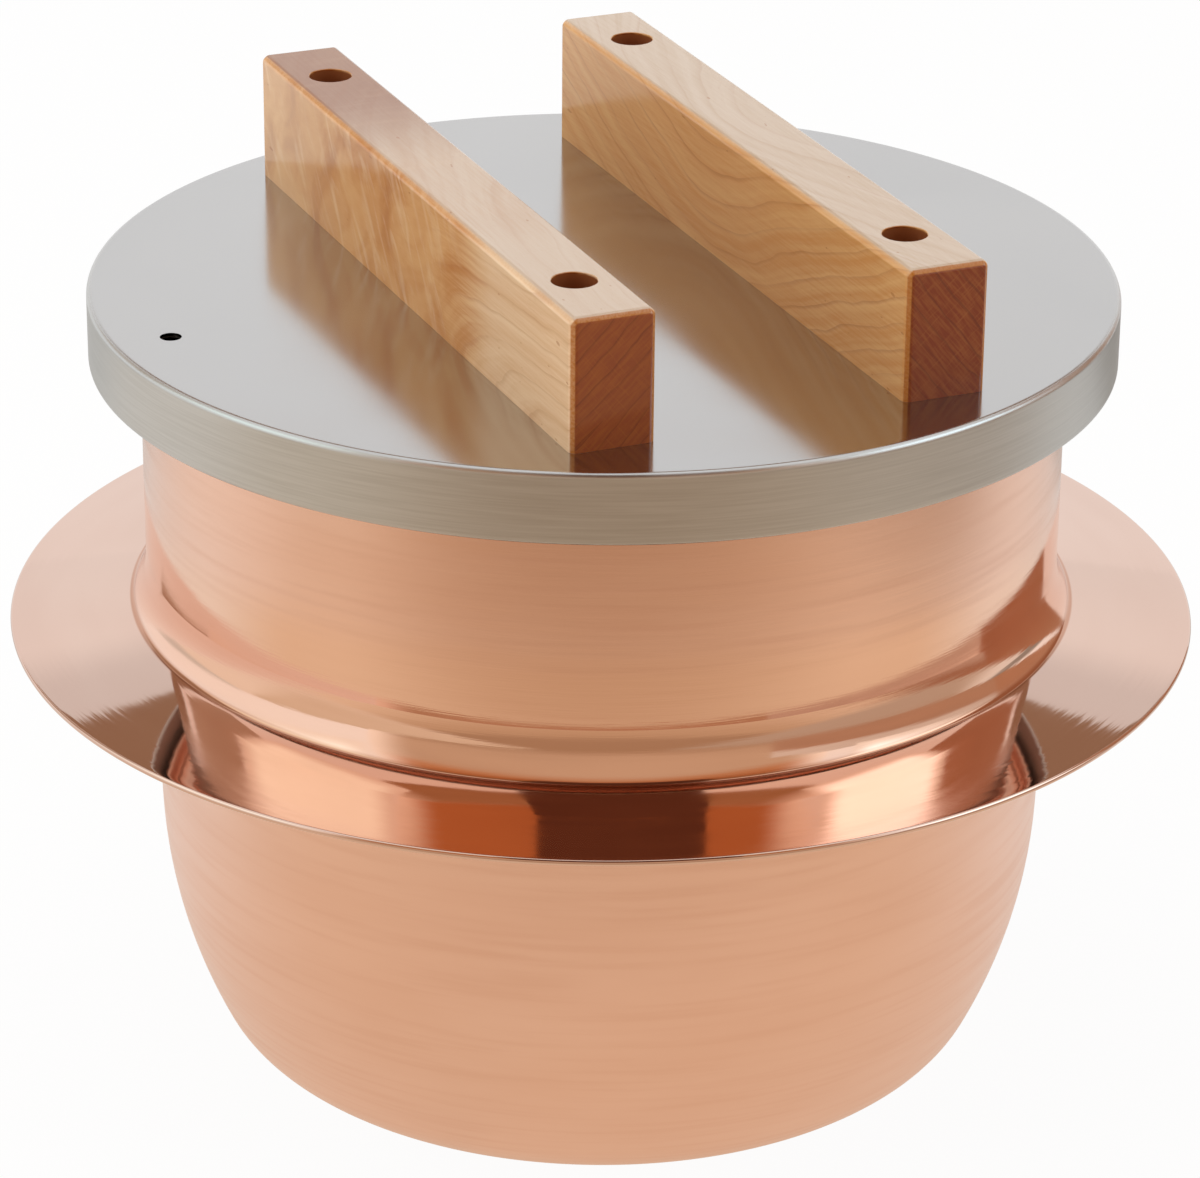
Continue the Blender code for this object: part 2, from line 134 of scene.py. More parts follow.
class Graph:
    """The node tree of a material or world, with short calls that add nodes and wire them."""

    def __init__(self, owner: Union[Material, bpy.types.World]) -> None:
        """Starts on the owner's first nodes.

        Args:
            owner: A new material or world.
        """
        self.owner = owner
        owner.use_nodes = True
        self.tree = owner.node_tree

    @classmethod
    def of_material(cls, name: str) -> "Graph":
        """The graph of a new material of that name."""
        return cls(bpy.data.materials.new(name))

    def feed(self, socket: bpy.types.NodeSocket, value: Feed) -> None:
        """Links a socket, or sets its constant.

        Args:
            socket: The input to fill.
            value: Another node's output, a number or a row of numbers.
        """
        if isinstance(value, Value):
            self.tree.links.new(value.socket, socket)
        else:
            socket.default_value = value

    def add(self, kind: str, output: Key, inputs: Optional[Mapping[Key, Feed]] = None,
            **settings: object) -> Value:
        """Adds a node.

        Args:
            kind: The node's type, without its prefix.
            output: Which of its outputs is wanted, by name or number.
            inputs: What goes into its sockets, by name or number.
            **settings: Its own properties.

        Returns:
            The wanted output.
        """
        node = self.tree.nodes.new(f"ShaderNode{kind}")
        for key, setting in settings.items():
            setattr(node, key, setting)
        for socket, value in (inputs or {}).items():
            self.feed(node.inputs[socket], value)
        return Value(self, node.outputs[output])

    def blend(self, factor: Feed, first: Feed, second: Feed, mode: Blend = Blend.MIX) -> Value:
        """A mix of two colours.

        Args:
            factor: The share of the second colour.
            first: The first colour, three numbers or a node's output.
            second: The second colour.
            mode: How the second goes over the first.

        Returns:
            The mixed colour.
        """
        pair = [colour if isinstance(colour, Value) else (*colour, 1.0) for colour in (first, second)]
        inputs = {0: factor, 6: pair[0], 7: pair[1]}
        return self.add("Mix", 2, inputs, data_type="RGBA", blend_type=mode.value, clamp_factor=True)

    def coats(self, ground: Feed, *coats: Tuple[Feed, Feed]) -> Value:
        """A colour with others laid over it, one after another.

        Args:
            ground: The first colour.
            *coats: The share and colour of each coat.

        Returns:
            The colour that shows.
        """
        colour = self.blend(0.0, ground, ground)
        for share, coat in coats:
            colour = self.blend(share, colour, coat)
        return colour

    def vector(self, x: Feed, y: Feed, z: Feed) -> Value:
        """A vector of three values."""
        return self.add("CombineXYZ", 0, {0: x, 1: y, 2: z})

    def split(self, vector: Value) -> Tuple[Value, Value, Value]:
        """The x, y and z of a vector."""
        x, y, z = (self.add("SeparateXYZ", part, {0: vector}) for part in range(3))
        return x, y, z

    def here(self) -> Value:
        """The shaded point, in metres in the part's frame."""
        return self.add("TexCoord", "Object")

    def place(self) -> Tuple[Value, Value, Value]:
        """The shaded point's x, y and z."""
        return self.split(self.here())

    def noise(self, vector: Feed, scale: float, detail: float = 2.0, distortion: float = 0.0) -> Value:
        """Noise from 0 to 1, read at a vector; detail counts its octaves and distortion swirls it."""
        inputs = {"Vector": vector, "Scale": scale, "Detail": detail, "Distortion": distortion}
        return self.add("TexNoise", "Fac", inputs)

    def rays(self) -> Tuple[Value, Value]:
        """Where metal or glass looks.

        Returns:
            One for a reflected or passed ray, and one for these and the camera's own.
        """
        camera, glossy, passed = (self.add("LightPath", f"Is {kind} Ray")
                                  for kind in ("Camera", "Glossy", "Transmission"))
        mirrored = glossy.calc("MAXIMUM", passed)
        return mirrored, mirrored.calc("MAXIMUM", camera)

    def bump(self, height: Feed, distance: float) -> Value:
        """A normal bumped by a relief, which stands the distance high in metres where it is one."""
        return self.add("Bump", "Normal", {"Height": height, "Distance": distance, "Strength": 1.0})

    @property
    def shader(self) -> bpy.types.Node:
        """The material's Principled shader."""
        return self.tree.nodes["Principled BSDF"]

    def dress(self, **inputs: Feed) -> Material:
        """Fills the shader's sockets.

        Args:
            **inputs: Values by socket name, with _ for a space.

        Returns:
            The finished material.
        """
        for key, value in inputs.items():
            socket = self.shader.inputs[key.replace("_", " ").title().replace("Ior", "IOR")]
            is_plain_colour = socket.type == "RGBA" and not isinstance(value, Value)
            self.feed(socket, (*value, 1.0) if is_plain_colour else value)
        return self.owner

    def show(self, surface: Value) -> Material:
        """The finished material, with another shader for its surface."""
        self.feed(self.tree.nodes["Material Output"].inputs["Surface"], surface)
        return self.owner


class Turned:
    """The place of a point on something turned about Z: its height, radius and way round."""

    def __init__(self, graph: Graph) -> None:
        """Reads the place from the object's own coordinates.

        Args:
            graph: The material's graph.
        """
        self.graph = graph
        x, y, self.height = graph.place()
        self.radius = (x * x + y * y).calc("MAXIMUM", 1e-10) ** 0.5
        self.across = self.radius + self.height
        self.way = (x / self.radius, y / self.radius)

    def lines(self, per_turn: float, per_metre: float, detail: float = 2.0) -> Value:
        """Noise drawn out into lines round the axis, so many to a metre across them."""
        way = [part * per_turn for part in self.way]
        return self.graph.noise(self.graph.vector(*way, self.across * per_metre), 1.0, detail)


@dataclass(frozen=True)
class SatinCopper:
    """Copper brushed on the lathe: satin on the bowl, closer to a mirror on the collar."""

    light: Colour = (0.925, 0.620, 0.500)
    deep: Colour = (0.850, 0.530, 0.405)
    polished: Colour = (0.920, 0.600, 0.435)
    bowl_roughness: float = 0.34
    collar_roughness: float = 0.225
    foot_roughness: float = 0.08
    collar_foot: float = 0.104
    collar_fade: float = 0.004
    polish_limit: float = 0.130
    polish_fade: float = 0.006
    polish_ragged: float = 0.004
    hair_height: float = 7e-6

    def layers(self, turned: Turned) -> Tuple[Value, Value, Value]:
        """The finish at any place on the pot, so that the brim's neck can carry it on.

        Args:
            turned: The place.

        Returns:
            The colour, the roughness and the relief in metres.
        """
        cloud = turned.lines(2.2, 75.0, 4.0)
        streak = turned.lines(2.2, 500.0, 4.0)
        hair = turned.lines(7.0, 3600.0)
        collar = (turned.height - self.collar_foot).span(-self.collar_fade, self.collar_fade)
        ragged = (streak - 0.5) * self.polish_ragged + turned.height
        satin = (ragged - self.polish_limit).span(-self.polish_fade, self.polish_fade)
        colour = turned.graph.coats(
            self.deep,
            (cloud.span(0.30, 0.70, 0.70, 1.0), self.light),
            (streak.span(0.46, 0.74, 0.0, 0.36), self.deep),
            (collar * satin.between(0.5, 0.0), self.polished),
        )
        collar_roughness = satin.between(self.foot_roughness, self.collar_roughness)
        roughness = collar.between(self.bowl_roughness, collar_roughness)
        relief = (streak * 1.5 + hair) * self.hair_height
        return colour, roughness + streak.span(0.3, 0.7, -0.03, 0.045), relief

    def material(self) -> Material:
        """Builds the finish.

        Returns:
            The material.
        """
        graph = Graph.of_material("satin_copper")
        colour, roughness, relief = self.layers(Turned(graph))
        normal = graph.bump(relief, 1.0)
        return graph.dress(base_color=colour, metallic=1.0, roughness=roughness, normal=normal)


@dataclass(frozen=True)
class MirrorCopper:
    """Copper polished to a mirror, with turned lines towards its outer edge; the neck stays satin."""

    light: Colour = (0.775, 0.555, 0.462)
    deep: Colour = (0.745, 0.520, 0.428)
    # a darker band round the brim's crease, between the neck's flare and the brim
    crease_darkening: Colour = (0.50, 0.205, 0.100)
    crease_darkening_share: float = 0.7
    roughness: float = 0.035
    neck_from: float = 0.1018
    neck_to: float = 0.1040
    crease_from: float = 0.1024
    crease_to: float = 0.1040
    crease_fade: float = 0.0005
    lined_from: float = 0.105
    lined_to: float = 0.124
    line_height: float = 1.5e-5

    def material(self) -> Material:
        """Builds the finish.

        Returns:
            The material.
        """
        graph = Graph.of_material("mirror_copper")
        turned = Turned(graph)
        satin, satin_roughness, satin_relief = SatinCopper().layers(turned)
        cloud = turned.lines(1.6, 60.0)
        hair = turned.lines(3.0, 800.0, 3.0)
        radius = turned.radius
        polish = radius.span(self.neck_from, self.neck_to)
        crease = (radius.span(self.crease_from, self.crease_from + self.crease_fade)
                  * radius.fall(self.crease_to - self.crease_fade, self.crease_to))
        mirror = graph.blend(cloud.span(0.3, 0.7), self.deep, self.light)
        mirror_roughness = cloud.span(0.35, 0.7, 0.0, 0.02) + self.roughness
        mirror_relief = hair * radius.span(self.lined_from, self.lined_to, 0.08, 1.0) * self.line_height
        return graph.dress(
            base_color=graph.coats(satin, (polish, mirror), (crease * self.crease_darkening_share, self.crease_darkening)),
            metallic=1.0,
            roughness=polish.between(satin_roughness, mirror_roughness),
            normal=graph.bump(polish.between(satin_relief, mirror_relief), 1.0),
        )


@dataclass(frozen=True)
class TinLining:
    """Tin wiped on by hand while hot: a soft grey with broad swirls."""

    light: Colour = (0.66, 0.66, 0.64)
    deep: Colour = (0.54, 0.545, 0.54)

    def material(self) -> Material:
        """Builds the finish.

        Returns:
            The material.
        """
        graph = Graph.of_material("tin_lining")
        swirl = Turned(graph).lines(2.5, 120.0, 5.0)
        return graph.dress(
            base_color=graph.blend(swirl.span(0.3, 0.7), self.deep, self.light),
            metallic=1.0,
            roughness=swirl.span(0.25, 0.75, 0.42, 0.58),
            normal=graph.bump(swirl, 4e-5),
        )


@dataclass(frozen=True)
class LidSteel:
    """Stainless sheet: an even satin on the flat top, fine lines round the skirt, dull inside."""

    light: Colour = (0.565, 0.557, 0.556)
    deep: Colour = (0.535, 0.527, 0.526)
    brushed: Colour = (0.560, 0.562, 0.552)
    lined: Colour = (0.625, 0.628, 0.620)
    # painted shade: a near-black for the wall of the steam vent, standing in for the dark inside it
    dark_bore: Colour = (0.05, 0.046, 0.042)
    top_roughness: float = 0.15
    skirt_roughness: float = 0.34
    skirt_from: float = 0.1095
    skirt_to: float = 0.1108
    inside_radius: float = 0.1103
    inside_height: float = 0.1756
    inside_fade: float = 1e-4
    inside_metal: float = 0.45
    inside_dullness: float = 0.2
    vent_place: Point = (-0.098, 0.0)
    vent_radius: float = 0.00235
    vent_rim: float = 0.1762
    hair_height: float = 5e-6

    def vent(self, graph: Graph) -> Value:
        """Where the wall of the steam vent is, which gets painted shade.

        Args:
            graph: The material's graph.

        Returns:
            One on it, zero elsewhere.
        """
        x, y, z = graph.place()
        reach = (x - self.vent_place[0]) ** 2.0 + (y - self.vent_place[1]) ** 2.0
        return reach.calc("LESS_THAN", self.vent_radius ** 2) * z.calc("LESS_THAN", self.vent_rim)

    def material(self) -> Material:
        """Builds the finish.

        Returns:
            The material.
        """
        graph = Graph.of_material("lid_steel")
        turned = Turned(graph)
        mottle = graph.noise(graph.here(), 14.0, 2.0, 0.4)
        grit = graph.noise(graph.here(), 2600.0)
        hair = turned.lines(6.0, 4200.0)
        streak = turned.lines(5.0, 2300.0, 3.0)
        skirt = turned.radius.span(self.skirt_from, self.skirt_to)
        tone = skirt.between(mottle, streak)
        dark = graph.blend(skirt, self.deep, self.brushed)
        bright = graph.blend(skirt, self.light, self.lined)
        # the vent's wall is coated with painted shade
        colour = graph.coats(dark, (tone.span(0.3, 0.7), bright), (self.vent(graph), self.dark_bore))
        inside = (turned.radius.fall(self.inside_radius, self.inside_radius + self.inside_fade)
                  * turned.height.fall(self.inside_height, self.inside_height + self.inside_fade))
        roughness = skirt.between(self.top_roughness, self.skirt_roughness)
        roughness = roughness + tone.span(0.3, 0.7, -0.025, 0.035)
        return graph.dress(
            base_color=colour,
            metallic=inside.between(1.0, self.inside_metal),
            roughness=roughness + inside * self.inside_dullness,
            normal=graph.bump(skirt.between(grit * 0.35, hair), self.hair_height),
        )


@dataclass(frozen=True)
class FastenerSteel:
    """Plain stainless of the screws, washers and nuts, faintly mottled."""

    name: str
    colour: Colour
    roughness: float
    dull_share: float = 0.82

    def material(self) -> Material:
        """Builds the finish.

        Returns:
            The material.
        """
        graph = Graph.of_material(self.name)
        mottle = graph.noise(graph.here(), 700.0, 4.0)
        dull = tuple(self.dull_share * part for part in self.colour)
        return graph.dress(
            base_color=graph.blend(mottle.span(0.35, 0.65), dull, self.colour),
            metallic=1.0,
            roughness=mottle.span(0.3, 0.7, self.roughness, self.roughness + 0.1),
            normal=graph.bump(mottle, 4e-6),
        )


class Board:
    """The place of a point in a bar, in millimetres.

    u runs from the front end to the rear one, v from the left face to the right one
    and w up from the foot.
    """

    def __init__(self, graph: Graph, foot: Vector, length: float, width: float) -> None:
        """Reads the place from the object's own coordinates.

        Args:
            graph: The material's graph.
            foot: The middle of the bar's foot, in metres.
            length: The bar's length, in metres.
            width: The bar's width, in metres.
        """
        self.graph = graph
        x, y, z = graph.place()
        self.u = (y + (length / 2 - foot.y)) * MILLIMETRES
        self.v = (x + (width / 2 - foot.x)) * MILLIMETRES
        self.w = (z - foot.z) * MILLIMETRES

    def grain(self, along: float, across: float, up: float, detail: float) -> Value:
        """Noise drawn out by its own fineness along the bar, across it and upwards."""
        place = self.graph.vector(self.u * along, self.v * across, self.w * up)
        return self.graph.noise(place, 1.0, detail)


@dataclass(frozen=True)
class Maple:
    """Clear-lacquered maple with growth lines, fibres and, on one bar, a curly figure.

    Sizes in the wood are in millimetres, as on a Board.
    """

    side: Side
    top_pale: Colour
    top_tan: Colour
    side_pale: Colour
    side_tan: Colour
    side_front: Colour
    line: Colour
    end: Colour
    rear_stain: Colour
    top_lines: float
    side_lines: float
    ring_step: float
    ring_lean: float
    curly: bool
    edge: Colour = (0.46, 0.165, 0.026)
    hole: Colour = (0.30, 0.105, 0.040)
    hole_places: Point = (20.4, 160.4)
    hole_radius: float = 4.8
    hole_rim: float = 28.28
    pith_stretch: float = 4.4
    arch_place: Point = (98.0, 6.0)
    arch_width: float = 2.2
    arch_fall: float = 0.40
    arch_round: float = 220.0
    wander: float = 7.0

    def rings(self, board: Board) -> Value:
        """How many growth rings lie between the pith and a place in the bar.

        Args:
            board: The place.

        Returns:
            The count, not rounded.
        """
        depth = board.v * self.ring_lean + board.w
        if self.curly:
            depth = ((board.u / self.pith_stretch) ** 2.0 + depth ** 2.0) ** 0.5
        else:
            along = board.u - self.arch_place[0]
            over = (board.v - self.arch_place[1]) * self.arch_width
            depth = depth - (along ** 2.0 + over ** 2.0 + self.arch_round) ** 0.5 * self.arch_fall
        return ((board.grain(0.022, 0.05, 0.05, 3.0) - 0.5) * self.wander + depth) / self.ring_step

    def curl(self, board: Board, on_side: Value, colour: Value, pale: Value, tan: Value) -> Value:
        """Lays the curly figure over a bar's sides.

        Args:
            board: The place.
            on_side: The share of the figure there.
            colour: The wood without it.
            pale: The wood's pale tone.
            tan: The wood's dark tone.

        Returns:
            The wood with it.
        """
        graph = board.graph
        across = board.u - board.w * 0.8
        run = (board.w * 1.4 + board.u) * 0.016
        deep = board.v * 0.05
        blotch = graph.noise(graph.vector(across * 0.040, run * 2.2, deep), 1.0, 3.0, 0.9)
        flame = graph.noise(graph.vector(across * 0.20, run * 2.0, deep), 1.0, 3.0, 0.8)
        return graph.coats(
            colour,
            (board.u.span(40.0, 62.0, 0.65, 0.0), pale),
            (on_side * 0.85, graph.blend(blotch.span(0.34, 0.66, 0.25, 0.85), pale, tan)),
            (blotch.span(0.56, 0.74) * on_side * 0.38, self.line),
            (flame.span(0.48, 0.74) * on_side * 0.42, self.side_front),
            (board.u.span(118.0, 172.0, 0.0, 0.35) * on_side, self.side_front),
        )

    def end_grain(self, board: Board, ring_line: Value) -> Value:
        """The colour of a sawn end, crossed by rings and rays.

        Args:
            board: The place.
            ring_line: Where a growth line is.

        Returns:
            The colour.
        """
        graph = board.graph
        ray_place = graph.vector(board.v * self.ring_lean + board.w, board.v * 0.25, 0.0)
        cross_place = graph.vector(board.v * (-1.1 / self.ring_lean) + board.w, board.w * 0.12, 0.0)
        return graph.coats(
            self.end,
            (graph.noise(ray_place, 1.1, 3.0).span(0.35, 0.7, 0.0, 0.55), self.line),
            (graph.noise(cross_place, 1.6, 3.0).span(0.52, 0.72, 0.0, 0.45), self.line),
            (ring_line * 0.55, tuple(0.5 * part for part in self.end)),
        )

    def dark_bore(self, board: Board, width: float) -> Value:
        """Where the wall or floor of a screw hole is.

        Args:
            board: The place.
            width: The bar's width, in metres.

        Returns:
            One in a hole, zero elsewhere.
        """
        front, rear = self.hole_places
        off_u = abs(board.u - (front + rear) / 2) - (rear - front) / 2
        reach = ((board.v - width / 2 * MILLIMETRES) ** 2.0 + off_u ** 2.0) ** 0.5
        return (reach.fall(self.hole_radius, self.hole_radius + 0.1)
                * board.w.fall(self.hole_rim - 0.6, self.hole_rim - 0.2))

    def material(self, foot: Vector, length: float, width: float) -> Material:
        """Builds the finish.

        Args:
            foot: The middle of the bar's foot, in metres.
            length: The bar's length.
            width: The bar's width.

        Returns:
            The material.
        """
        graph = Graph.of_material(f"{self.side.name.lower()}_maple")
        board = Board(graph, foot, length, width)
        _, facing_end, facing_up = graph.split(graph.add("NewGeometry", "Normal"))
        is_top = abs(facing_up).span(0.6, 0.9)
        is_end = abs(facing_end).span(0.78, 0.92)
        end_edge = abs(facing_end).span(0.45, 0.68)
        long_edge = facing_up.span(0.40, 0.62) * facing_up.fall(0.80, 0.92)

        count = self.rings(board)
        phase = count.calc("FRACT")
        strength = graph.noise(graph.vector(count.calc("FLOOR"), board.u * 0.01, 0.0), 3.7, 1.0)
        latewood = phase.span(0.80, 0.97) * phase.fall(0.975, 0.995)
        ring_line = latewood * strength.span(0.25, 0.7, 0.25, 1.0)
        band = graph.noise(graph.vector(count, board.u * 0.004, 0.0), 1.7, 4.0)
        fibre = board.grain(0.05, 1.8, 1.8, 4.0)
        pore = board.grain(0.35, 7.0, 7.0, 2.0)
        fleck = board.grain(0.22, 0.45, 0.6, 1.0)
        speck = board.grain(1.6, 1.6, 1.6, 2.0)

        rear = board.u.span(92.0, 150.0)
        top_pale, top_tan = (graph.blend(rear, tone, tuple(a * b for a, b in zip(tone, self.rear_stain)))
                             for tone in (self.top_pale, self.top_tan))
        side_pale = graph.blend(board.u.span(38.0, 66.0), self.side_front, self.side_pale)
        pale = graph.blend(is_top, side_pale, top_pale)
        tan = graph.blend(is_top, self.side_tan, top_tan)
        colour = graph.blend((band * 0.65 + fibre * 0.35).span(0.32, 0.66), pale, tan)
        drawn = is_top.between(self.side_lines, self.top_lines)
        if self.curly:
            on_side = board.u.span(52.0, 80.0) * is_top.between(1.0, 0.12)
            drawn = drawn * on_side.between(1.0, 0.12)
            colour = self.curl(board, on_side, colour, pale, tan)
        worn = board.u.span(20.0, 150.0, 0.12, 0.40) * speck.span(0.36, 0.62, 0.2, 1.0)
        colour = graph.coats(
            colour,
            (fleck.span(0.74, 0.775, 0.0, 0.45), self.line),
            (ring_line * drawn, self.line),
            (pore.span(0.58, 0.75, 0.0, 0.16), self.line),
            (long_edge * worn, self.side_tan),
            (end_edge * fibre.span(0.3, 0.7, 0.72, 0.95), self.edge),
            (is_end, self.end_grain(board, ring_line)),
            (self.dark_bore(board, width), self.hole),
        )
        return graph.dress(
            base_color=colour,
            roughness=fibre.span(0.3, 0.7, 0.08, 0.15),
            ior=1.58,
            normal=graph.bump((fibre + pore) * 0.5, 1.2e-5),
        )


@dataclass(frozen=True)
class PaperWhite:
    """White background paper that keeps a shadow; metal sees it fall off towards the dim front."""

    colour: Colour = (0.92, 0.92, 0.92)
    lit_share: float = 0.95
    back_glow: Colour = (0.74, 0.73, 0.71)
    side_glow: Colour = (0.88, 0.86, 0.82)
    near_glow: Colour = (0.79, 0.640, 0.485)
    front_glow: Colour = (0.55, 0.390, 0.255)
    far_glow: Colour = (0.40, 0.260, 0.160)
    left_glow: Colour = (0.88, 0.80, 0.71)
    left_front_glow: Colour = (0.72, 0.600, 0.470)
    right_glow: Colour = (0.50, 0.410, 0.330)
    left_shade: Colour = (0.82, 0.82, 0.81)
    right_shade: Colour = (0.40, 0.375, 0.345)
    front: Point = (-0.395, -0.918)

    def glow(self, graph: Graph) -> Value:
        """How bright the paper looks in metal: dim and warm in front, and dimmer right than left.

        Args:
            graph: The material's graph.

        Returns:
            The colour.
        """
        x, y, _ = graph.place()
        ahead = x * self.front[0] + y * self.front[1]
        right = x * -self.front[1] + y * self.front[0]
        far_left = right.span(-0.34, -0.44)
        colour = graph.coats(
            WHITE,
            (ahead.span(-0.62, -0.42), self.back_glow),
            (ahead.span(-0.40, -0.05), self.side_glow),
            (ahead.span(-0.07, 0.12), self.near_glow),
            (ahead.span(0.18, 0.42), self.front_glow),
            (ahead.span(0.42, 0.52), self.far_glow),
            (ahead.span(-0.36, -0.22) * far_left, self.left_glow),
            (ahead.span(0.04, 0.22) * far_left, self.left_front_glow),
            (ahead.span(-0.22, 0.06) * right.span(0.34, 0.44), self.right_glow),
        )
        behind = ahead.span(-0.58, -0.44) * ahead.fall(-0.33, -0.27)
        for edge, shade in (((-0.12, -0.30), self.left_shade), ((0.12, 0.32), self.right_shade)):
            colour = graph.blend(behind * right.span(*edge), colour, shade, Blend.MULTIPLY)
        return colour

    def material(self) -> Material:
        """Builds the finish.

        Returns:
            The material.
        """
        graph = Graph.of_material("paper_white")
        mirrored, shown = graph.rays()
        tooth = graph.noise(graph.here(), 900.0)
        graph.dress(base_color=self.colour, roughness=0.9, normal=graph.bump(tooth, 2e-5))
        paint = Value(graph, graph.shader.outputs[0])
        colour = graph.blend(mirrored, WHITE, self.glow(graph))
        glow = graph.add("Emission", 0, {"Color": colour, "Strength": 1.0})
        paper = graph.add("MixShader", 0, {0: shown * self.lit_share, 1: paint, 2: glow})
        below = graph.add("NewGeometry", "Backfacing")
        clear = graph.add("BsdfTransparent", 0)
        return graph.show(graph.add("MixShader", 0, {0: below, 1: paper, 2: clear}))


@dataclass(frozen=True)
class GlowCard:
    """A card that glows with painted light, unseen by the camera and a little uneven, whose colour may
    change on the way up.
    """

    name: str
    stops: Stops
    """Shares of the height, from the foot up, and the colours there."""
    sides: Optional[Colour] = None
    """What it fades to at both sides."""

    def material(self) -> Material:
        """Builds the finish.

        Returns:
            The material.
        """
        graph = Graph.of_material(self.name)
        across, up, _ = graph.place()
        height = up + 0.5
        steps = zip(self.stops, self.stops[1:])
        coats = ((height.span(low, high), glow) for (low, _), (high, glow) in steps)
        colour = graph.coats(self.stops[0][1], *coats)
        if self.sides is not None:
            colour = graph.blend(abs(across).span(0.33, 0.50), colour, self.sides)
        uneven = graph.noise(graph.here(), 2.0).span(0.3, 0.7, 0.96, 1.04)
        # painted light: the card glows by emission, though it is no lamp
        return graph.show(graph.add("Emission", 0, {"Color": colour, "Strength": uneven}))


class Bench:
    """The modelling steps that the pieces share."""

    @staticmethod
    def pick(*pieces: Piece) -> None:
        """Selects these pieces and no others, and makes the last one active.

        Args:
            *pieces: The pieces, or none.
        """
        bpy.ops.object.select_all(action="DESELECT")
        for piece in pieces:
            piece.select_set(True)
            bpy.context.view_layer.objects.active = piece

    @staticmethod
    @contextmanager
    def editing(piece: Piece) -> Iterator[None]:
        """Holds a piece in edit mode, with all of it selected, for a block of steps.

        Args:
            piece: The piece.

        Yields:
            Nothing.
        """
        Bench.pick(piece)
        bpy.ops.object.mode_set(mode="EDIT")
        bpy.ops.mesh.select_all(action="SELECT")
        yield
        bpy.ops.object.mode_set(mode="OBJECT")

    @staticmethod
    def named(name: str) -> Piece:
        """Names the primitive that was just added.

        Args:
            name: Its name.

        Returns:
            The primitive.
        """
        piece = bpy.context.object
        piece.name = piece.data.name = name
        return piece

    @staticmethod
    def block(name: str, size: Vector, middle: Vector) -> Piece:
        """Cuts a square block.

        Args:
            name: Its name.
            size: Its size on each axis.
            middle: Its middle.

        Returns:
            The block.
        """
        Bench.pick()
        bpy.ops.mesh.primitive_cube_add(size=1.0)
        piece = Bench.named(name)
        with Bench.editing(piece):
            bpy.ops.transform.resize(value=size)
            bpy.ops.transform.translate(value=middle)
        return piece

    @staticmethod
    def modify(piece: Piece, kind: str, **settings: object) -> None:
        """Adds a modifier and applies it.

        Args:
            piece: The piece.
            kind: The modifier's type.
            **settings: Its properties.
        """
        Bench.pick(piece)
        modifier = piece.modifiers.new(kind.lower(), kind)
        for key, value in settings.items():
            setattr(modifier, key, value)
        bpy.ops.object.modifier_apply(modifier=modifier.name)

    @staticmethod
    def cut(piece: Piece, cutter: Piece, operation: str = "DIFFERENCE") -> None:
        """Cuts a piece with a Boolean and takes the cutter away."""
        Bench.modify(piece, "BOOLEAN", object=cutter, operation=operation, solver="EXACT")
        bpy.data.objects.remove(cutter)

    @staticmethod
    def thicken(piece: Piece, way: int, sheet: float, softness: float, **settings: object) -> None:
        """Gives a turned sheet its thickness, inwards, and softens its rims.

        Args:
            piece: The sheet.
            way: 1 if its highest face has to look up, -1 if its lowest face has to look down.
            sheet: The thickness.
            softness: How wide its rims are rounded.
            **settings: More of Solidify's properties.
        """
        outermost = max(piece.data.polygons, key=lambda face: way * face.center.z)
        if way * outermost.normal.z < 0:
            with Bench.editing(piece):
                bpy.ops.mesh.flip_normals()
        Bench.modify(piece, "SOLIDIFY", thickness=sheet, offset=-1.0, use_even_offset=True, **settings)
        Bench.modify(piece, "BEVEL", width=softness, segments=3, limit_method="ANGLE",
                     angle_limit=CORNER_ANGLE)

    @staticmethod
    def dress(piece: Piece, *materials: Material) -> Piece:
        """Gives a piece its materials and shades it smooth, with crisp corners and true flats.

        Args:
            piece: The piece.
            *materials: What it is made of.

        Returns:
            The piece.
        """
        for material in materials:
            piece.data.materials.append(material)
        Bench.pick(piece)
        bpy.ops.object.shade_smooth_by_angle(angle=SMOOTH_ANGLE)
        Bench.modify(piece, "WEIGHTED_NORMAL", keep_sharp=True, weight=80)
        return piece

    @staticmethod
    def copy(piece: Piece, name: str, offset: Vector) -> Piece:
        """Copies a piece with a mesh of its own and moves the mesh.

        Args:
            piece: The piece to copy.
            name: The copy's name.
            offset: How far the copy's mesh is moved.

        Returns:
            The copy.
        """
        twin = bpy.data.objects.new(name, piece.data.copy())
        bpy.context.scene.collection.objects.link(twin)
        twin.data.transform(Matrix.Translation(offset))
        return twin

    @staticmethod
    def hand_in(piece: Piece, body: Body, slot: str, *nodes: str) -> None:
        """Ties a finished piece to its body and hides the solids that it stands for.

        Args:
            piece: The piece.
            body: The body that it rides on.
            slot: The record's material slot; not used.
            *nodes: The solids that it replaces.
        """
        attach(piece, body.value)
        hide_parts(*nodes)
        LOG.info("%s: %d faces, on %s", piece.name, len(piece.data.polygons), body.value)


